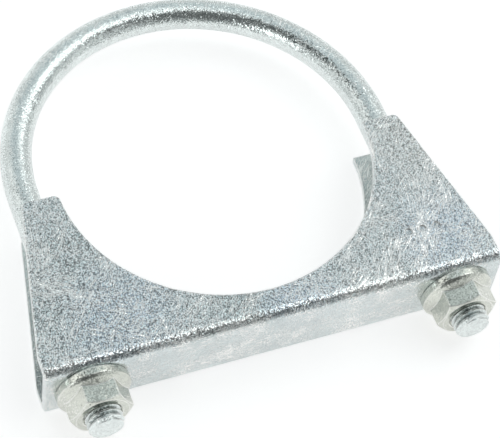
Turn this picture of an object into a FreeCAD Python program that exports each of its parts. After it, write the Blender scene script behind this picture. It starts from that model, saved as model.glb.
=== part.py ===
import FreeCAD, Part
import math
import os

import Sketcher

# A pipe clamp: a threaded U-shaped bolt, a pressed channel saddle and two flange nuts.
# The origin is on the axis of the clamped pipe, half way along it.  X runs from nut to nut,
# +Y from the nuts to the top of the loop, and Z along the pipe, so the clamp lies flat.

DRIVING_SIZES = {
    # the bolt
    "rod_diameter": 7.1,
    "leg_spacing": 82.0,
    "loop_rise": 6.4,
    "bolt_end": 52.8,
    "thread_length": 26.0,
    "thread_pitch": 1.25,
    "bolt_crest_radius": 3.94,
    "bolt_root_radius": 3.23,
    "bolt_pitch_radius": 3.534,
    "bolt_chamfer": 0.5,
    # the saddle
    "pipe_radius": 35.25,
    "sheet": 2.0,
    "bend_radius": 2.7,
    "saddle_width": 16.0,
    "saddle_length": 102.0,
    "seat_to_web": 42.4,
    "lobe_half_length": 43.5,
    "end_height": 5.9,
    "hole_diameter": 9.0,
    "lobe_outer_round": 1.5,
    "lobe_inner_round": 1.5,
    "shoulder_round": 6.0,
    "edge_round": 0.4,
    # the row of punch marks on one cheek
    "mark_diameter": 1.7,
    "mark_depth": 0.3,
    "mark_spacing": 3.3,
    "mark_centre_x": 37.1,
    "mark_centre_y": -30.5,
    # the nuts
    "nut_flats": 12.0,
    "nut_height": 7.3,
    "flange_diameter": 15.9,
    "rim_height": 1.7,
    "rim_chamfer": 0.5,
    "cone_height": 3.2,
    "nut_bore_radius": 3.35,
    "nut_groove_radius": 4.06,
    "nut_pitch_radius": 3.654,
    "countersink_radius": 4.4,
    "rim_round": 0.3,
    "corner_round": 0.3,
    "left_nut_turn": 1.5,
    "right_nut_turn": -14.5,
}

FLANK_SLOPE = math.tan(math.radians(30.0))   # a metric thread's flanks
CHAMFER_SLOPE = math.tan(math.radians(30.0))   # the chamfer on a nut's corners
CHAMFER_START = 0.95     # where that chamfer starts, as a share of the flats' half width
HEXAGON_CORNER = 2.0 / math.sqrt(3.0)   # a hexagon's corner radius, from its inner radius
TURNS_PAST_END = 9       # turns from the web to the first thread groove, off the bolt's end
NUT_TURNS = 7            # turns of thread cut through a nut, with some at both ends to spare
OUTSIDE = 2.0            # how far a cutting sketch reaches past the solid
THREAD_OVERLAP = 0.1     # how far a thread groove's profile reaches past the crests it cuts
MARK_STEPS = (-1, 0, 1)  # the punch marks, in spacings from the middle one
SMALL = 1e-4             # two places closer than this are the same place


class Size:
    """A length or an angle: its value now, and the spreadsheet formula that gives it."""

    def __init__(self, value, formula):
        self.value = value
        self.formula = formula

    def __add__(self, other):
        other = as_size(other)
        return Size(self.value + other.value, f"({self.formula} + {other.formula})")

    def __sub__(self, other):
        other = as_size(other)
        return Size(self.value - other.value, f"({self.formula} - {other.formula})")

    def __mul__(self, other):
        other = as_size(other)
        return Size(self.value * other.value, f"({self.formula} * {other.formula})")

    def __truediv__(self, other):
        other = as_size(other)
        return Size(self.value / other.value, f"({self.formula} / {other.formula})")

    def __neg__(self):
        return Size(-self.value, f"(0 - {self.formula})")


def as_size(number):
    if isinstance(number, Size):
        return number
    return Size(float(number), f"{float(number):.9f}")


def make_sheet(doc):
    """Write every driving size into the spreadsheet, and return them by name."""
    sheet = doc.addObject("Spreadsheet::Sheet", "sizes")
    sizes = {}
    for row, (name, value) in enumerate(DRIVING_SIZES.items(), start=1):
        sheet.set(f"A{row}", name)
        sheet.set(f"B{row}", str(value))
        sheet.setAlias(f"B{row}", name)
        sizes[name] = Size(value, f"sizes.{name}")
    doc.recompute()
    return sizes


def bind(thing, property_name, size):
    thing.setExpression(property_name, as_size(size).formula)


# ---- sketches and features ----

def new_body(doc, name):
    body = doc.addObject("PartDesign::Body", name)
    body.Label = name
    doc.recompute()
    return body


def origin_feature(body, role):
    for feature in body.Origin.OriginFeatures:
        if feature.Role == role:
            return feature
    raise ValueError(f"{body.Label} has no {role}")


def new_sketch(body, plane, name, shift_x=0.0, shift_y=0.0):
    """A sketch on one of the body's own origin planes, moved within that plane."""
    sketch = body.newObject("Sketcher::SketchObject", name)
    sketch.AttachmentSupport = [(origin_feature(body, plane), "")]
    sketch.MapMode = "FlatFace"
    bind(sketch, ".AttachmentOffset.Base.x", shift_x)
    bind(sketch, ".AttachmentOffset.Base.y", shift_y)
    return sketch


def pin(sketch, geometry, point, x, y):
    """Hold one point of a sketch at x, y from the sketch's origin."""
    for kind, size in (("DistanceX", as_size(x)), ("DistanceY", as_size(y))):
        index = sketch.addConstraint(
            Sketcher.Constraint(kind, -1, 1, geometry, point, size.value))
        sketch.setExpression(f"Constraints[{index}]", size.formula)


def draw_polygon(sketch, corners):
    """A closed outline of straight lines through the given corners."""
    corners = [(as_size(x), as_size(y)) for x, y in corners]
    first = sketch.GeometryCount
    for start, end in zip(corners, corners[1:] + corners[:1]):
        sketch.addGeometry(Part.LineSegment(
            FreeCAD.Vector(start[0].value, start[1].value, 0),
            FreeCAD.Vector(end[0].value, end[1].value, 0)))
    for index in range(len(corners)):
        following = (index + 1) % len(corners)
        sketch.addConstraint(
            Sketcher.Constraint("Coincident", first + index, 2, first + following, 1))
    for index, (x, y) in enumerate(corners):
        pin(sketch, first + index, 1, x, y)


def draw_circle(sketch, x, y, radius):
    x, y, radius = as_size(x), as_size(y), as_size(radius)
    circle = sketch.addGeometry(Part.Circle(
        FreeCAD.Vector(x.value, y.value, 0), FreeCAD.Vector(0, 0, 1), radius.value))
    index = sketch.addConstraint(Sketcher.Constraint("Radius", circle, radius.value))
    sketch.setExpression(f"Constraints[{index}]", radius.formula)
    pin(sketch, circle, 3, x, y)
    return circle


def draw_hexagon(sketch, corner_radius, turn):
    """A regular hexagon about the sketch's origin, one side up, then turned clockwise."""
    guide = draw_circle(sketch, 0, 0, corner_radius)
    sketch.setConstruction(guide, True)
    spoke = sketch.addGeometry(Part.LineSegment(
        FreeCAD.Vector(0, 0, 0), turned_point(corner_radius.value, 60.0 - turn.value)))
    sketch.setConstruction(spoke, True)
    first = sketch.GeometryCount
    for side in range(6):
        angle = 60.0 * (side + 1) - turn.value
        sketch.addGeometry(Part.LineSegment(
            turned_point(corner_radius.value, angle),
            turned_point(corner_radius.value, angle + 60.0)))
    for side in range(6):
        following = first + (side + 1) % 6
        sketch.addConstraint(Sketcher.Constraint("Coincident", first + side, 2, following, 1))
        sketch.addConstraint(Sketcher.Constraint("PointOnObject", first + side, 1, guide))
    for side in range(5):
        sketch.addConstraint(Sketcher.Constraint("Equal", first + side, first + side + 1))
    sketch.addConstraint(Sketcher.Constraint("Coincident", spoke, 1, -1, 1))
    sketch.addConstraint(Sketcher.Constraint("Coincident", spoke, 2, first, 1))
    angle = as_size(60.0) - turn
    index = sketch.addConstraint(
        Sketcher.Constraint("Angle", -1, 1, spoke, 1, math.radians(angle.value)))
    sketch.setExpression(f"Constraints[{index}]", f"{angle.formula} * 1 deg")


def turned_point(radius, degrees):
    angle = math.radians(degrees)
    return FreeCAD.Vector(radius * math.cos(angle), radius * math.sin(angle), 0)


def add_feature(body, kind, name, profile, **settings):
    """Add a PartDesign feature made from a sketch.  A setting that is a Size is bound to the sheet."""
    feature = body.newObject(f"PartDesign::{kind}", name)
    feature.Profile = profile
    for property_name, value in settings.items():
        if isinstance(value, Size):
            bind(feature, property_name, value)
        else:
            setattr(feature, property_name, value)
    body.Document.recompute()
    return feature


def cut_through(body, name, sketch):
    """Cut a sketch right through the body, both ways from its plane."""
    before = body.Shape.Volume
    cut = add_feature(body, "Pocket", name, sketch, Type="ThroughAll", Midplane=True)
    require_cut(body, name, before)
    return cut


def require_cut(body, name, volume_before):
    if not body.Shape.Volume < volume_before - SMALL:
        raise RuntimeError(f"{name} in {body.Label} cuts nothing")


def round_edges(body, name, radius, wanted):
    """Round every edge of the body that the test wanted(edge) picks."""
    base = body.Tip
    names = [f"Edge{index}" for index, edge in enumerate(base.Shape.Edges, start=1) if wanted(edge)]
    if not names:
        raise RuntimeError(f"{name} in {body.Label} finds no edge")
    fillet = body.newObject("PartDesign::Fillet", name)
    fillet.Base = (base, names)
    bind(fillet, "Radius", radius)
    body.Document.recompute()
    return fillet


def is_line_at(edge, direction, **place):
    """Whether an edge is a straight line along a direction, at the places given for x, y or z."""
    if edge.Curve.TypeId != "Part::GeomLine":
        return False
    if abs(abs(edge.Curve.Direction.dot(direction)) - 1.0) > SMALL:
        return False
    centre = edge.CenterOfMass
    return all(abs(abs(getattr(centre, axis)) - abs(value.value)) < SMALL
               for axis, value in place.items())


def is_circle_of(edge, radius):
    return edge.Curve.TypeId == "Part::GeomCircle" and abs(edge.Curve.Radius - radius.value) < SMALL


def thread_profile(sketch, inner_radius, outer_radius, pitch_radius, pitch, opens):
    """The section of one thread groove.  It opens outwards (+1, a bolt) or inwards (-1, a nut)."""
    def half_width(radius):
        return pitch / 4.0 + (radius - pitch_radius) * (FLANK_SLOPE * opens)

    inner_half = half_width(inner_radius)
    outer_half = half_width(outer_radius)
    draw_polygon(sketch, [
        (inner_radius, -inner_half),
        (outer_radius, -outer_half),
        (outer_radius, outer_half),
        (inner_radius, inner_half),
    ])


def cut_thread(body, name, sketch, pitch, height):
    """Cut a right-hand thread up the sketch's vertical axis."""
    before = body.Shape.Volume
    helix = body.newObject("PartDesign::SubtractiveHelix", name)
    helix.Profile = sketch
    helix.ReferenceAxis = (sketch, ["V_Axis"])
    helix.Mode = "pitch-height-angle"
    bind(helix, "Pitch", pitch)
    bind(helix, "Height", height)
    helix.LeftHanded = False
    helix.Reversed = False
    body.Document.recompute()
    require_cut(body, name, before)
    return helix


# ---- the four pieces ----

def make_saddle(doc, sizes):
    """The pressed channel: a web, and two cheeks with a seat for the pipe cut in each."""
    body = new_body(doc, "saddle")
    half_width = sizes["saddle_width"] / 2
    half_length = sizes["saddle_length"] / 2
    web_outside = -sizes["seat_to_web"]
    web_inside = web_outside + sizes["sheet"]
    cheek_inside = half_width - sizes["sheet"]

    section = new_sketch(body, "YZ_Plane", "channel_section")
    draw_polygon(section, [
        (0, half_width),
        (web_outside, half_width),
        (web_outside, -half_width),
        (0, -half_width),
        (0, -cheek_inside),
        (web_inside, -cheek_inside),
        (web_inside, cheek_inside),
        (0, cheek_inside),
    ])
    add_feature(body, "Pad", "channel", section, Length=sizes["saddle_length"], Midplane=True)

    along = FreeCAD.Vector(1, 0, 0)
    round_edges(body, "outer_bends", sizes["bend_radius"],
                lambda edge: is_line_at(edge, along, y=web_outside, z=half_width))
    round_edges(body, "inner_bends", sizes["bend_radius"] - sizes["sheet"],
                lambda edge: is_line_at(edge, along, y=web_inside, z=cheek_inside))

    seat = new_sketch(body, "XY_Plane", "seat_circle")
    draw_circle(seat, 0, 0, sizes["pipe_radius"])
    cut_through(body, "pipe_seat", seat)

    shoulder = web_outside + sizes["end_height"]
    lobe = sizes["lobe_half_length"]
    sides = new_sketch(body, "XY_Plane", "side_triangles")
    for side in (-1, 1):
        draw_polygon(sides, [
            (half_length * side, shoulder),
            (lobe * side, 0),
            ((half_length + OUTSIDE) * side, 0),
            ((half_length + OUTSIDE) * side, shoulder),
        ])
    cut_through(body, "tapered_sides", sides)

    holes = new_sketch(body, "XZ_Plane", "leg_holes_section")
    for side in (-1, 1):
        draw_circle(holes, sizes["leg_spacing"] / 2 * side, 0, sizes["hole_diameter"] / 2)
    cut_through(body, "leg_holes", holes)

    upright = FreeCAD.Vector(0, 0, 1)
    round_edges(body, "lobe_outer_rounds", sizes["lobe_outer_round"],
                lambda edge: is_line_at(edge, upright, x=lobe, y=as_size(0)))
    round_edges(body, "lobe_inner_rounds", sizes["lobe_inner_round"],
                lambda edge: is_line_at(edge, upright, x=sizes["pipe_radius"], y=as_size(0)))
    round_edges(body, "shoulder_rounds", sizes["shoulder_round"],
                lambda edge: is_line_at(edge, upright, x=half_length, y=shoulder))
    round_edges(body, "outer_rims", sizes["edge_round"],
                lambda edge: is_outer_rim(edge, half_width.value, web_outside.value,
                                          sizes["bend_radius"].value))
    punch_marks(body, sizes, half_width)
    return body


def is_outer_rim(edge, half_width, web_outside, bend_radius):
    """Whether an edge bounds the channel's outer skin, rather than crossing it or lying inside."""
    if edge.Curve.TypeId == "Part::GeomLine" and abs(edge.Curve.Direction.x) > 1.0 - SMALL:
        if abs(edge.CenterOfMass.y) > SMALL:
            return False
    return all(is_on_outer_skin(point, half_width, web_outside, bend_radius)
               for point in edge.discretize(5))


def is_on_outer_skin(point, half_width, web_outside, bend_radius):
    from_web = point.y - web_outside
    from_cheek = half_width - abs(point.z)
    if from_web < bend_radius and from_cheek < bend_radius:
        reach = math.hypot(bend_radius - from_web, bend_radius - from_cheek)
        return abs(reach - bend_radius) < SMALL
    return abs(from_web) < SMALL or abs(from_cheek) < SMALL


def punch_marks(body, sizes, half_width):
    """A short row of shallow round marks, punched in the outside of the upper cheek."""
    before = body.Shape.Volume
    marks = new_sketch(body, "XY_Plane", "punch_mark_circles")
    bind(marks, ".AttachmentOffset.Base.z", half_width)
    for step in MARK_STEPS:
        draw_circle(marks, sizes["mark_centre_x"] + sizes["mark_spacing"] * step,
                    sizes["mark_centre_y"], sizes["mark_diameter"] / 2)
    add_feature(body, "Pocket", "punch_marks", marks, Length=sizes["mark_depth"])
    require_cut(body, "punch_marks", before)


def make_bolt(doc, sizes):
    """The bolt: a rod bent into a U, with a rolled thread on the end of each leg."""
    body = new_body(doc, "u_bolt")
    half_spacing = sizes["leg_spacing"] / 2
    bolt_end = -sizes["bolt_end"]
    thread_top = bolt_end + sizes["thread_length"]
    rod_radius = sizes["rod_diameter"] / 2

    path = new_sketch(body, "XY_Plane", "rod_path")
    left, right, rise = -half_spacing.value, half_spacing.value, sizes["loop_rise"].value
    path.addGeometry(Part.LineSegment(
        FreeCAD.Vector(left, bolt_end.value, 0), FreeCAD.Vector(left, rise, 0)))
    path.addGeometry(Part.ArcOfCircle(
        Part.Circle(FreeCAD.Vector(0, rise, 0), FreeCAD.Vector(0, 0, 1), right), 0, math.pi))
    path.addGeometry(Part.LineSegment(
        FreeCAD.Vector(right, rise, 0), FreeCAD.Vector(right, bolt_end.value, 0)))
    path.addConstraint(Sketcher.Constraint("Tangent", 0, 2, 1, 2))
    path.addConstraint(Sketcher.Constraint("Tangent", 1, 1, 2, 1))
    pin(path, 1, 3, 0, sizes["loop_rise"])
    pin(path, 0, 1, -half_spacing, bolt_end)
    pin(path, 2, 2, half_spacing, bolt_end)

    section = new_sketch(body, "XZ_Plane", "rod_section")
    bind(section, ".AttachmentOffset.Base.z", -bolt_end)
    draw_circle(section, -half_spacing, 0, rod_radius)
    add_feature(body, "AdditivePipe", "rod", section, Spine=(path, ["Edge1", "Edge2", "Edge3"]))

    for side, sign in (("left", -1), ("right", 1)):
        crest = sizes["bolt_crest_radius"]
        barrel = new_sketch(body, "XY_Plane", f"{side}_thread_barrel_section",
                            shift_x=half_spacing * sign)
        draw_polygon(barrel, [
            (0, bolt_end),
            (crest - sizes["bolt_chamfer"], bolt_end),
            (crest, bolt_end + sizes["bolt_chamfer"]),
            (crest, thread_top),
            (rod_radius, thread_top + (crest - rod_radius)),
            (0, thread_top + (crest - rod_radius)),
        ])
        add_feature(body, "Revolution", f"{side}_thread_barrel", barrel,
                    ReferenceAxis=(barrel, ["V_Axis"]), Angle=360.0)
    for side, sign in (("left", -1), ("right", 1)):
        start = -sizes["seat_to_web"] - sizes["thread_pitch"] * TURNS_PAST_END
        groove = new_sketch(body, "XY_Plane", f"{side}_thread_groove",
                            shift_x=half_spacing * sign, shift_y=start)
        thread_profile(groove, sizes["bolt_root_radius"],
                       sizes["bolt_crest_radius"] + THREAD_OVERLAP,
                       sizes["bolt_pitch_radius"], sizes["thread_pitch"], 1)
        cut_thread(body, f"{side}_thread", groove, sizes["thread_pitch"], thread_top - start)
    return body


def make_nut(doc, sizes, side, sign):
    """A hexagon nut with a flange, seated on the web around one leg of the bolt."""
    body = new_body(doc, f"{side}_nut")
    height = sizes["nut_height"]
    flat_radius = sizes["nut_flats"] / 2
    corner_radius = flat_radius * HEXAGON_CORNER
    flange_radius = sizes["flange_diameter"] / 2

    flange = new_sketch(body, "XY_Plane", "flange_section")
    draw_polygon(flange, [
        (0, 0),
        (flange_radius, 0),
        (flange_radius, -sizes["rim_height"]),
        (flange_radius - sizes["rim_chamfer"], -sizes["rim_height"] - sizes["rim_chamfer"]),
        (flat_radius, -sizes["cone_height"]),
        (0, -sizes["cone_height"]),
    ])
    add_feature(body, "Revolution", "flange", flange,
                ReferenceAxis=(flange, ["V_Axis"]), Angle=360.0)

    round_edges(body, "rim_rounds", sizes["rim_round"],
                lambda edge: is_circle_of(edge, flange_radius))

    hexagon = new_sketch(body, "XZ_Plane", "hexagon")
    draw_hexagon(hexagon, corner_radius, sizes[f"{side}_nut_turn"])
    add_feature(body, "Pad", "wrench_flats", hexagon, Length=height)
    outwards = FreeCAD.Vector(0, 1, 0)
    round_edges(body, "corner_rounds", sizes["corner_round"],
                lambda edge: is_line_at(edge, outwards))

    corners = new_sketch(body, "XY_Plane", "corner_chamfer_section")
    chamfer_start = flat_radius * CHAMFER_START
    chamfer_width = corner_radius + OUTSIDE - chamfer_start
    draw_polygon(corners, [
        (chamfer_start, -height),
        (chamfer_start + chamfer_width, -height),
        (chamfer_start + chamfer_width, -height + chamfer_width * CHAMFER_SLOPE),
    ])
    before = body.Shape.Volume
    add_feature(body, "Groove", "corner_chamfer", corners,
                ReferenceAxis=(corners, ["V_Axis"]), Angle=360.0)
    require_cut(body, "corner_chamfer", before)

    bore = new_sketch(body, "XY_Plane", "bore_section")
    sink = sizes["countersink_radius"] - sizes["nut_bore_radius"]
    draw_polygon(bore, [
        (0, 0),
        (sizes["countersink_radius"], 0),
        (sizes["nut_bore_radius"], -sink),
        (sizes["nut_bore_radius"], sink - height),
        (sizes["countersink_radius"], -height),
        (0, -height),
    ])
    before = body.Shape.Volume
    add_feature(body, "Groove", "bore", bore, ReferenceAxis=(bore, ["V_Axis"]), Angle=360.0)
    require_cut(body, "bore", before)

    # The bolt's grooves are whole pitches from the web, so the nut's are half a pitch off them.
    start = sizes["thread_pitch"] * (0.5 - NUT_TURNS)
    groove = new_sketch(body, "XY_Plane", "thread_groove", shift_y=start)
    thread_profile(groove, sizes["nut_bore_radius"] - THREAD_OVERLAP,
                   sizes["nut_groove_radius"], sizes["nut_pitch_radius"],
                   sizes["thread_pitch"], -1)
    cut_thread(body, "thread", groove, sizes["thread_pitch"], sizes["thread_pitch"] * NUT_TURNS)

    bind(body, ".Placement.Base.x", sizes["leg_spacing"] / 2 * sign)
    bind(body, ".Placement.Base.y", -sizes["seat_to_web"])
    return body


def check_document(doc, pieces):
    """Stop if any feature failed, or if a piece isn't one valid solid."""
    for thing in doc.Objects:
        failed = {"Invalid", "Error"} & set(thing.State)
        if failed:
            raise RuntimeError(f"{thing.Label} is {', '.join(sorted(failed))}")
    for piece in pieces:
        shape = piece.Shape
        if shape.isNull() or not shape.isValid() or len(shape.Solids) != 1:
            raise RuntimeError(f"{piece.Label} isn't one valid solid")


def main():
    doc = FreeCAD.newDocument("pipe_clamp")
    sizes = make_sheet(doc)
    pieces = [
        make_saddle(doc, sizes),
        make_bolt(doc, sizes),
        make_nut(doc, sizes, "left", -1),
        make_nut(doc, sizes, "right", 1),
    ]
    doc.recompute()
    check_document(doc, pieces)
    os.makedirs("parts", exist_ok=True)
    for piece in pieces:
        piece.Shape.exportStep(os.path.join("parts", f"{piece.Label}.step"))
        print(piece.Label, round(piece.Shape.Volume, 1), "mm3")


main()
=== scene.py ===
import math

import bpy
from mathutils import Matrix, Vector


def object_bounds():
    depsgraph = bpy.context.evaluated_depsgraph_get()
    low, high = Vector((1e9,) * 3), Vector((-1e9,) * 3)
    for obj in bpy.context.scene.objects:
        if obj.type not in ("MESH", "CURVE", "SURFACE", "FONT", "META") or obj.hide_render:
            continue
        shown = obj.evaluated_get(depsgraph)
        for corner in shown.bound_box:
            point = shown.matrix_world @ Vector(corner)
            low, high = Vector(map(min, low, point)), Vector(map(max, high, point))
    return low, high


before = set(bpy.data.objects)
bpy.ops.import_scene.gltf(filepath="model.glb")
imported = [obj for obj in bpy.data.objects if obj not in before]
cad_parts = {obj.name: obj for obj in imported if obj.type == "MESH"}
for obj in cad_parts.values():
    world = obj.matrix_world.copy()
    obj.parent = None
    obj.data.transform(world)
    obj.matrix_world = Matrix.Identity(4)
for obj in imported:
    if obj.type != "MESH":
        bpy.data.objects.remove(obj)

CAD_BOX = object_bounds()
MM = 0.001

# ---- the camera ----
CAMERA_PLACE = Vector((-113.9, -231.8, 358.0)) * MM
CAMERA_TARGET = Vector((4.6, -12.8, 0.0)) * MM
CAMERA_ROLL = 9.9           # degrees that the camera is turned anticlockwise, seen from behind it
CAMERA_LENS = 143.6         # mm
SENSOR_WIDTH = 36.0         # mm
NEAREST_SEEN = 0.01         # metres

# ---- the studio ----
FLOOR_HALF_SIZE = 3.0       # metres
FLOOR_COLOUR = (0.60, 0.60, 0.60)
FLOOR_ROUGHNESS = 0.9
FLOOR_GLOW = 0.66           # the lit table's own light
WHITE = (1.0, 1.0, 1.0)

# The room as the clamp sees it.  Azimuth runs from +X towards +Y, and elevation up from the table.
SKY_COLOUR = (0.74, 0.77, 0.77)
# Each patch: azimuth, elevation, half angle of its middle, half angle of its edge, colour.
# A later patch lies over an earlier one.
SKY_PATCHES = (
    (85.0, 58.0, 20.0, 34.0, (0.60, 0.67, 0.69)),      # a grey card above the loop
    (142.0, 34.0, 10.0, 22.0, (1.15, 1.17, 1.16)),     # a white card at the left
    (-102.0, 42.0, 29.0, 43.0, (0.14, 0.15, 0.15)),    # the unlit room behind the camera
    (178.0, 57.0, 16.0, 26.0, (0.08, 0.09, 0.09)),     # its left side
    (-42.0, 50.0, 8.0, 16.0, (0.16, 0.17, 0.17)),      # its right side
    (-6.0, 24.0, 4.0, 14.0, (0.25, 0.27, 0.27)),       # the gap under the soft box
    (-15.0, 74.0, 9.0, 17.0, (1.6, 1.65, 1.65)),       # the ceiling lamp
    (16.0, 50.0, 11.0, 19.0, (2.2, 2.27, 2.27)),       # the soft box
    (-148.0, 17.0, 8.0, 13.0, (3.0, 3.1, 3.1)),        # the strip light beside the camera
)

# ---- the plate's colours ----
SHEET_COLOUR = (0.62, 0.67, 0.67)
ROD_COLOUR = (0.73, 0.775, 0.765)
NUT_COLOUR = (0.615, 0.63, 0.575)
# Pale colour of scratches, which are wear, and of the painted highlight along edges.
PALE_SCRATCH_AND_HIGHLIGHT_COLOUR = (0.97, 0.96, 0.94)
DULL_CAST = (0.49, 0.53, 0.53)
BLUE_CAST = (0.60, 0.675, 0.745)
BEIGE_CAST = (0.72, 0.74, 0.715)

# Where the upper cheek is tinted: centre and reach in mm, and the tint.
SHEET_CASTS = (
    ((-2.0, -36.0, 8.0), 14.0, DULL_CAST),      # below the seat
    ((-33.0, -33.0, 8.0), 16.0, BLUE_CAST),     # beside the left nut
    ((41.0, -33.0, 8.0), 12.0, BLUE_CAST),      # beside the right nut
    ((5.0, -41.0, 8.0), 10.0, BLUE_CAST),       # along the bend
    ((44.0, -8.0, 8.0), 10.0, BEIGE_CAST),      # the right lobe
)
CAST_STRENGTH = 0.9         # how much of its tint a cast has in its middle
CAST_MIDDLE = -0.1          # in reaches, where the middle ends before the clouds push it out
CAST_EDGE = 0.6             # in reaches, where the tint ends, likewise
CAST_RAGGED = 0.9           # in reaches, how far the clouds push both out

# ---- the plate's patches ----
CLOUD_SIZE = 16.0 * MM
MOTTLE_SIZE = 1.4 * MM
MOTTLE_HARSHNESS = 0.6      # how strong the mottle's finer spots are
WAVE_SIZE = 7.0 * MM
SMUDGE_SIZE = 6.0 * MM
SMUDGE_WAY = -52.0          # degrees from +X
SMUDGE_STRETCH = 3.0

# How much each of them counts in the shade, the mix at which it is darkest and lightest, and
# those two shades.
SHADE_MOTTLE = 0.4
SHADE_CLOUDS = 0.3
SHADE_SMUDGES = 0.3
SHADE_MIX = (0.35, 0.65)
SHADE_ENDS = (0.88, 1.08)

# The same for the roughness.
ROUGH_SMUDGES = 0.6         # beside 1 for the mottle
ROUGH_MIX = (0.6, 1.0)
ROUGH_BELOW = 0.05          # how far the smoothest places lie below the plate's roughness
ROUGH_ABOVE = 0.07          # and the roughest above it
ROUGH_EDGE = 0.15           # what a rounded edge adds

# Heights, in parts of the plate's relief.
WAVE_HEIGHT = 2.0
SCRATCH_HEIGHT = 0.8

# ---- wear, painted edge highlights and painted hollow shade ----
CHEEK_HEIGHT = 8.0 * MM     # from the middle of the saddle to the outside of a cheek
SHELTERED_BELOW = 0.3 * CHEEK_HEIGHT
EXPOSED_ABOVE = 0.9 * CHEEK_HEIGHT

SCRATCH_WIDTH = 0.2 * MM
SCRATCH_STRETCH = 22.0      # a scratch's length, in widths
SCRATCH_SOFTNESS = 0.03     # how slowly it fades at its sides
SCRATCH_PALENESS = 0.9      # how much of the pale scratch-and-edge colour it has
# Each way that scratches run: degrees from +X, and what is added to the cut to make them rarer.
SCRATCH_WAYS = ((42.0, 0.0), (58.0, 0.01), (-30.0, 0.05), (5.0, 0.05), (80.0, 0.03))
PATCH_SIZE = 25.0 * SCRATCH_WIDTH       # scratches come in patches
PATCH_STRETCH = 3.0
PATCH_WEIGHT = 0.6          # how much the patches count, beside 1 for the scratches themselves

BEVEL_SAMPLES = 4
EDGE_AGREEMENT = (0.995, 0.95)  # cosines between flat and rounded where the painted edge highlight starts and is full
# Painted shade in hollows, where the piece's own surfaces close in.
HOLLOW_SAMPLES = 6
HOLLOW_OPENNESS = (0.3, 0.75)   # openness where a hollow is darkest, and where it ends
HOLLOW_SHADE = 0.3          # the darkest painted shade

# ---- crystals ----
CRYSTAL_LUCK = (0.2, 0.8)       # luck at which a crystal's speckle, partly a painted glint, is darkest and lightest
ODD_CRYSTAL_LUCK = (0.80, 0.82)     # luck between which a crystal becomes an odd one
ODD_LEAN = 2.4              # how many times further an odd crystal leans
SMUDGE_START = (0.42, 0.62)     # smudge values between which crystals lean less
SMUDGED_LEAN = 0.65         # share of the lean left under a smudge
LEAN_EXPOSURE = (0.12, 0.9)     # exposed shares between which crystals lean more
SHELTERED_LEAN = 0.45       # share of the lean left in a sheltered place


# ---- node helpers ----

class Nodes:
    """A node tree that is built one node at a time."""

    def __init__(self, tree):
        self.tree = tree
        self.tree.nodes.clear()

    def add(self, kind, inputs=None, **settings):
        node = self.tree.nodes.new(kind)
        for name, value in settings.items():
            setattr(node, name, value)
        for name, value in (inputs or {}).items():
            self.feed(node.inputs[name], value)
        return node

    def feed(self, socket, value):
        if isinstance(value, bpy.types.NodeSocket):
            self.tree.links.new(value, socket)
        else:
            socket.default_value = value

    def math(self, operation, first, second):
        return self.add("ShaderNodeMath", {0: first, 1: second}, operation=operation).outputs[0]

    def total(self, *values):
        """The sum of (socket, weight) pairs."""
        result = 0.0
        for value, weight in values:
            result = self.add("ShaderNodeMath", {0: value, 1: weight, 2: result},
                              operation="MULTIPLY_ADD").outputs[0]
        return result

    def remap(self, value, low, high, new_low=0.0, new_high=1.0):
        """Value from low..high to new_low..new_high, held at both ends."""
        node = self.add("ShaderNodeMapRange", {
            "Value": value, "From Min": low, "From Max": high,
            "To Min": new_low, "To Max": new_high})
        return node.outputs["Result"]

    def blend(self, share, first, second):
        """The first colour where share is 0, and the second where it is 1."""
        node = self.add("ShaderNodeMix", data_type="RGBA")
        self.feed(node.inputs["Factor"], share)
        for socket, colour in ((node.inputs[6], first), (node.inputs[7], second)):
            self.feed(socket, colour if isinstance(colour, bpy.types.NodeSocket) else rgba(colour))
        return node.outputs[2]

    def vector(self, operation, first, second=(0.0, 0.0, 0.0)):
        node = self.add("ShaderNodeVectorMath", {0: first, 1: second}, operation=operation)
        return node.outputs["Value" if operation in ("DOT_PRODUCT", "DISTANCE") else "Vector"]

    def scaled(self, vector, share):
        node = self.add("ShaderNodeVectorMath", {0: vector, "Scale": share}, operation="SCALE")
        return node.outputs["Vector"]

    def part(self, vector, axis):
        """The X, Y or Z of a vector."""
        return self.add("ShaderNodeSeparateXYZ", {"Vector": vector}).outputs[axis]

    def noise(self, place, size, detail=2.0, roughness=0.5):
        """Smooth noise from 0 to 1, whose blobs are about size metres across."""
        node = self.add("ShaderNodeTexNoise", {
            "Vector": place, "Scale": 1.0 / size, "Detail": detail, "Roughness": roughness})
        return node.outputs["Fac"]

    def drawn_out(self, place, degrees, stretch):
        """Places in which noise comes out stretched along a direction in the XY plane."""
        node = self.add("ShaderNodeMapping", {
            "Vector": place, "Rotation": (0.0, 0.0, math.radians(degrees)),
            "Scale": (stretch, 1.0, 1.0)}, vector_type="TEXTURE")
        return node.outputs["Vector"]


def rgba(colour):
    return (*colour, 1.0)


# ---- the zinc plate ----

def scratches(nodes, place, cut):
    """Fine straight scratches in several directions, from 0 to 1.  A higher cut leaves fewer."""
    marks = 0.0
    for degrees, rarer in SCRATCH_WAYS:
        lines = nodes.noise(nodes.drawn_out(place, degrees, SCRATCH_STRETCH), SCRATCH_WIDTH,
                            detail=1.0)
        patches = nodes.noise(nodes.drawn_out(place, degrees, PATCH_STRETCH), PATCH_SIZE,
                              detail=1.0)
        wanted = nodes.total((lines, 1.0), (patches, PATCH_WEIGHT))
        one_way = nodes.remap(wanted, cut + rarer, cut + rarer + SCRATCH_SOFTNESS)
        marks = nodes.math("MAXIMUM", marks, one_way)
    return marks


def exposed_share(nodes, coordinates, sheltered):
    """1 on the outside of each cheek, falling to sheltered on the web and in the channel."""
    facing = nodes.part(coordinates["Normal"], "Z")
    height = nodes.part(coordinates["Object"], "Z")
    outward = nodes.math("MULTIPLY", facing, height)
    return nodes.remap(outward, SHELTERED_BELOW, EXPOSED_ABOVE, sheltered, 1.0)


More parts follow.
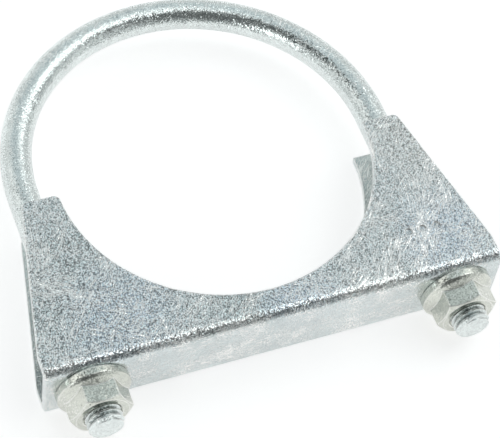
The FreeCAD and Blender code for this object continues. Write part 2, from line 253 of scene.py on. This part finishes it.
def tinted(nodes, place, clouds, exposed, colour, casts):
    """The plate's colour, with each cast's tint in a cloudy-edged patch where it is exposed."""
    tint = colour
    for centre_mm, reach_mm, cast in casts:
        reach = reach_mm * MM
        away = nodes.vector("DISTANCE", place, Vector(centre_mm) * MM)
        ragged = nodes.total((clouds, -CAST_RAGGED * reach), (away, 1.0))
        near = nodes.remap(ragged, CAST_MIDDLE * reach, CAST_EDGE * reach, CAST_STRENGTH, 0.0)
        tint = nodes.blend(nodes.math("MULTIPLY", near, exposed), tint, cast)
    return tint


def edge_share(nodes, rounded):
    """0 on a flat and 1 at an edge, from how far rounding the edge turns the surface.  It places
    the painted highlight along edges.
    """
    true_normal = nodes.add("ShaderNodeNewGeometry").outputs["Normal"]
    return nodes.remap(nodes.vector("DOT_PRODUCT", rounded, true_normal), *EDGE_AGREEMENT)


def painted_hollow_shade(nodes, reach):
    """Painted shade: 1 in the open, and darker where the piece's own surfaces crowd in within
    reach.
    """
    openness = nodes.add("ShaderNodeAmbientOcclusion", {"Distance": reach},
                         samples=HOLLOW_SAMPLES, only_local=True).outputs["AO"]
    return nodes.remap(openness, *HOLLOW_OPENNESS, HOLLOW_SHADE, 1.0)


def leaning(nodes, crystals, normal, tilt):
    """The normal, leaned at random in each crystal by about tilt, and further in the odd ones."""
    luck = nodes.add("ShaderNodeTexWhiteNoise", {"Vector": crystals["Position"]})
    oddness = nodes.remap(luck.outputs["Value"], *ODD_CRYSTAL_LUCK, 1.0, ODD_LEAN)
    way = nodes.vector("SUBTRACT", crystals["Color"], (0.5, 0.5, 0.5))
    lean = nodes.scaled(way, nodes.math("MULTIPLY", tilt, oddness))
    return nodes.vector("NORMALIZE", nodes.vector("ADD", normal, lean))


def plated_steel(name, colour, casts, rough, relief, crystal_size, tilt, speckle, sheltered,
                 scratch_cut, painted_shade_reach, rounded_highlit_edge):
    """Bright zinc plate: crystals that each lean and shine their own way, a cloudy colour cast,
    painted shade in its hollows, pale scratches where other clamps have scratched it, and a pale
    painted highlight along its edges.

    relief, crystal_size, the reach of the painted hollow shade and the radius of the rounded,
    highlit edges are in metres.  tilt is how far the crystals lean, and speckle how much their
    shades differ, partly as grain and partly as painted glints.  sheltered is the share of the
    speckle and the casts that is left away from the outside of the cheeks."""
    material = bpy.data.materials.new(name)
    material.use_nodes = True
    nodes = Nodes(material.node_tree)
    coordinates = nodes.add("ShaderNodeTexCoord").outputs
    place = coordinates["Object"]

    clouds = nodes.noise(place, CLOUD_SIZE)
    mottle = nodes.noise(place, MOTTLE_SIZE, roughness=MOTTLE_HARSHNESS)
    waves = nodes.noise(place, WAVE_SIZE, detail=1.0)
    smudges = nodes.noise(nodes.drawn_out(place, SMUDGE_WAY, SMUDGE_STRETCH), SMUDGE_SIZE)
    crystals = nodes.add("ShaderNodeTexVoronoi", {
        "Vector": place, "Scale": 1.0 / crystal_size}).outputs
    marks = scratches(nodes, place, scratch_cut)
    exposed = exposed_share(nodes, coordinates, sheltered)
    rounded = nodes.add("ShaderNodeBevel", {"Radius": rounded_highlit_edge},
                        samples=BEVEL_SAMPLES).outputs["Normal"]
    edge = edge_share(nodes, rounded)

    # The colour: tints, then the crystals' and clouds' shades (the crystals' speckle partly
    # painted glints), then painted shade in the hollows, then pale scratches and a painted
    # highlight along the edges.
    # The crystals' speckle: partly grain and partly painted glints, kept mostly to the outside of
    # the cheeks, where they reflect the room's bright and dark patches.
    darkness = nodes.remap(nodes.part(crystals["Color"], "Y"), *CRYSTAL_LUCK, speckle, -speckle)
    shade_mix = nodes.total((mottle, SHADE_MOTTLE), (clouds, SHADE_CLOUDS),
                            (smudges, SHADE_SMUDGES))
    shade = nodes.math("SUBTRACT", nodes.remap(shade_mix, *SHADE_MIX, *SHADE_ENDS),
                       nodes.math("MULTIPLY", darkness, exposed))
    # Painted shade in the hollows: thread grooves, the nut's flange corner and the channel's
    # inside.
    shade = nodes.math("MULTIPLY", shade, painted_hollow_shade(nodes, painted_shade_reach))
    unmarked_colour = nodes.scaled(tinted(nodes, place, clouds, exposed, colour, casts), shade)
    # Scratches are pale wear; the pale band along the edges is a painted highlight.
    scratches_and_edge_highlight = nodes.math("MAXIMUM", nodes.math("MULTIPLY", marks, SCRATCH_PALENESS), edge)
    finished_colour = nodes.blend(scratches_and_edge_highlight, unmarked_colour, PALE_SCRATCH_AND_HIGHLIGHT_COLOUR)

    rough_mix = nodes.total((mottle, 1.0), (smudges, ROUGH_SMUDGES))
    patchy_rough = nodes.remap(rough_mix, *ROUGH_MIX, rough - ROUGH_BELOW, rough + ROUGH_ABOVE)
    roughness = nodes.total((patchy_rough, 1.0), (edge, ROUGH_EDGE))

    # The surface: its relief, and then each crystal's own lean.
    height = nodes.total((mottle, relief), (waves, WAVE_HEIGHT * relief),
                         (marks, SCRATCH_HEIGHT * relief))
    bump = nodes.add("ShaderNodeBump", {"Height": height, "Strength": 1.0, "Distance": 1.0,
                                        "Normal": rounded})
    local_tilt = nodes.math("MULTIPLY",
                            nodes.remap(smudges, *SMUDGE_START, tilt, SMUDGED_LEAN * tilt),
                            nodes.remap(exposed, *LEAN_EXPOSURE, SHELTERED_LEAN, 1.0))
    normal = leaning(nodes, crystals, bump.outputs["Normal"], local_tilt)

    surface = nodes.add("ShaderNodeBsdfPrincipled", {
        "Base Color": finished_colour, "Metallic": 1.0, "Roughness": roughness,
        "Normal": normal})
    nodes.add("ShaderNodeOutputMaterial", {"Surface": surface.outputs["BSDF"]})
    return material


def sheet_plate():
    return plated_steel(
        "zinc_sheet_bright", SHEET_COLOUR, SHEET_CASTS, rough=0.15, relief=0.05 * MM,
        crystal_size=0.21 * MM, tilt=0.33, speckle=0.70, sheltered=0.12, scratch_cut=0.945,
        painted_shade_reach=14.0 * MM, rounded_highlit_edge=0.3 * MM)


def rod_plate():
    return plated_steel(
        "zinc_rod_bright", ROD_COLOUR, casts=(), rough=0.14, relief=0.04 * MM,
        crystal_size=0.19 * MM, tilt=0.34, speckle=0.12, sheltered=1.0, scratch_cut=1.06,
        painted_shade_reach=1.3 * MM, rounded_highlit_edge=0.1 * MM)


def nut_plate():
    return plated_steel(
        "zinc_nut_warm", NUT_COLOUR, casts=(), rough=0.14, relief=0.004 * MM,
        crystal_size=0.24 * MM, tilt=0.26, speckle=0.3, sheltered=0.25, scratch_cut=1.05,
        painted_shade_reach=1.6 * MM, rounded_highlit_edge=0.35 * MM)


def paint_clamp():
    sheet = sheet_plate()
    rod = rod_plate()
    nut = nut_plate()
    for node, plate in (("saddle", sheet), ("u_bolt", rod), ("left_nut", nut), ("right_nut", nut)):
        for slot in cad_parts[node].material_slots:
            slot.material = plate


# ---- the studio ----

def make_floor():
    """A pale table that glows a little, as a light table does."""
    lowest = CAD_BOX[0][2]
    reach = FLOOR_HALF_SIZE
    mesh = bpy.data.meshes.new("floor")
    mesh.from_pydata([(-reach, -reach, lowest), (reach, -reach, lowest),
                      (reach, reach, lowest), (-reach, reach, lowest)], [], [(0, 1, 2, 3)])
    floor = bpy.data.objects.new("floor", mesh)
    bpy.context.scene.collection.objects.link(floor)
    material = bpy.data.materials.new("pale_floor")
    material.use_nodes = True
    nodes = Nodes(material.node_tree)
    surface = nodes.add("ShaderNodeBsdfPrincipled", {
        "Base Color": rgba(FLOOR_COLOUR), "Roughness": FLOOR_ROUGHNESS,
        "Specular IOR Level": 0.0, "Emission Color": rgba(WHITE),
        "Emission Strength": FLOOR_GLOW})
    nodes.add("ShaderNodeOutputMaterial", {"Surface": surface.outputs["BSDF"]})
    mesh.materials.append(material)


def heading(azimuth, elevation):
    """The unit vector that points at an azimuth and elevation in degrees."""
    flat = math.cos(math.radians(elevation))
    return Vector((flat * math.cos(math.radians(azimuth)), flat * math.sin(math.radians(azimuth)),
                   math.sin(math.radians(elevation))))


def cosine(degrees):
    return math.cos(math.radians(degrees))


def make_sky():
    """The room round the clamp, pale grey with dark and bright soft areas to reflect.  The
    camera itself sees plain white."""
    world = bpy.data.worlds.new("studio")
    bpy.context.scene.world = world
    world.use_nodes = True
    nodes = Nodes(world.node_tree)
    direction = nodes.add("ShaderNodeTexCoord").outputs["Generated"]
    colour = SKY_COLOUR
    for azimuth, elevation, inner, outer, patch_colour in SKY_PATCHES:
        near = nodes.vector("DOT_PRODUCT", direction, heading(azimuth, elevation))
        colour = nodes.blend(nodes.remap(near, cosine(outer), cosine(inner)), colour, patch_colour)
    seen = nodes.add("ShaderNodeLightPath").outputs["Is Camera Ray"]
    shown = nodes.blend(seen, colour, WHITE)
    background = nodes.add("ShaderNodeBackground", {"Color": shown, "Strength": 1.0})
    nodes.add("ShaderNodeOutputWorld", {"Surface": background.outputs["Background"]})


def make_camera():
    data = bpy.data.cameras.new("camera")
    data.sensor_width = SENSOR_WIDTH
    data.lens = CAMERA_LENS
    data.clip_start = NEAREST_SEEN
    camera = bpy.data.objects.new("camera", data)
    bpy.context.scene.collection.objects.link(camera)
    back = (CAMERA_PLACE - CAMERA_TARGET).normalized()
    level_right = Vector((0.0, 0.0, 1.0)).cross(back).normalized()
    level_up = back.cross(level_right)
    roll = math.radians(CAMERA_ROLL)
    right = math.cos(roll) * level_right + math.sin(roll) * level_up
    up = back.cross(right)
    turn = Matrix((right, up, back)).transposed().to_4x4()
    camera.matrix_world = Matrix.Translation(CAMERA_PLACE) @ turn
    bpy.context.scene.camera = camera


make_camera()
make_floor()
make_sky()
paint_clamp()
bpy.context.scene.view_settings.view_transform = "Standard"
